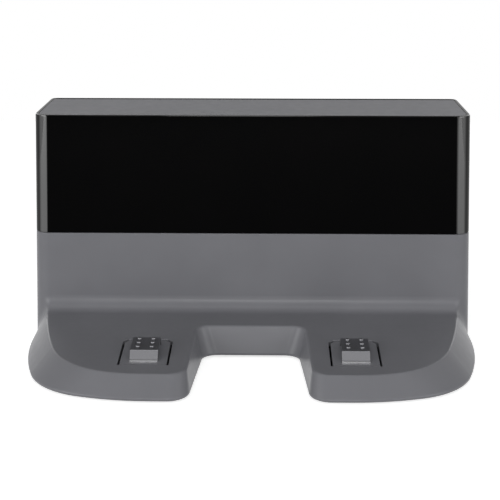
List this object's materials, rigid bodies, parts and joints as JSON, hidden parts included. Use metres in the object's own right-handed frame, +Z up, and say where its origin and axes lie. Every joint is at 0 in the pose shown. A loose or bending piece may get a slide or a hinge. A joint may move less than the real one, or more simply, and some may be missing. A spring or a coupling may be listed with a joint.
{
  "type": "robot vacuum charging dock",
  "caption": "Free-standing charging dock for a robot vacuum: upright tower with a glossy infrared window, sloping base with a caster notch and sprung contact flaps.",
  "frame": {"origin": "on the floor, under the middle of the dock's outer box", "axes": "+Z up, +Y towards the back of the tower, so the robot drives on from -Y; +X to the dock's right seen from the front"},
  "size_m": [0.2116, 0.1278, 0.11],
  "materials": {
    "housing_grey": "satin moulded",
    "window_black": "polished, infrared clear",
    "cover_black": "fine texture",
    "foot_rubber": "matte",
    "contact_metal": "plated",
    "spring_metal": "rolled",
    "screw_metal": "blackened",
    "pin_metal": "plated",
    "board_green": "solder mask",
    "emitter_tint": "tinted resin",
    "ferrite": "sintered",
    "winding_tape": "taped",
    "can_sleeve": "shrink sleeve",
    "fuse_glass": "clear with end caps",
    "lead_red": "smooth",
    "lead_black": "smooth"
  },
  "bodies": {
    "dock": {"front_housing": "housing_grey", "ir_window": "window_black", "rear_cover": "cover_black", "base_plate": "cover_black", "ir_board": "board_green", "emitter_shroud": "cover_black", "supply_board": "board_green", "transformer_core": "ferrite", "transformer_winding": "winding_tape", "mains_capacitor": "can_sleeve", "output_capacitor": "can_sleeve", "choke": "ferrite", "fuse": "fuse_glass", "mains_inlet": "cover_black", "inlet_pins": "pin_metal", "contact_lead_left": "lead_black", "contact_lead_right": "lead_red", "signal_lead": "lead_black", "inlet_lead_near": "lead_black", "inlet_lead_far": "lead_black", "base_screws": "screw_metal", "rear_screws": "screw_metal", "board_screws": "screw_metal", "rocker_pin_left": "spring_metal", "leaf_spring_left": "spring_metal", "foot_front_left": "foot_rubber", "foot_rear_left": "foot_rubber", "emitter_near_left": "emitter_tint", "emitter_far_left": "emitter_tint", "rocker_pin_right": "spring_metal", "leaf_spring_right": "spring_metal", "foot_front_right": "foot_rubber", "foot_rear_right": "foot_rubber", "emitter_near_right": "emitter_tint", "emitter_far_right": "emitter_tint"},
    "contact_left": {"contact_rocker_left": "housing_grey", "contact_plate_left": "contact_metal"},
    "contact_right": {"contact_rocker_right": "housing_grey", "contact_plate_right": "contact_metal"}
  },
  "joints": [
    {"name": "contact_left_press", "type": "hinge", "parent": "dock", "child": "contact_left", "pos_m": [-0.0465, -0.05017, 0.00661], "axis": [-1, 0, 0], "range_deg": [0, 7], "stiffness_Nm_per_rad": 0.2, "springref_deg": -3.44, "deforming": ["leaf_spring_left"]},
    {"name": "contact_right_press", "type": "hinge", "parent": "dock", "child": "contact_right", "pos_m": [0.0465, -0.05017, 0.00661], "axis": [-1, 0, 0], "range_deg": [0, 7], "stiffness_Nm_per_rad": 0.2, "springref_deg": -3.44, "deforming": ["leaf_spring_right"]}
  ]
}
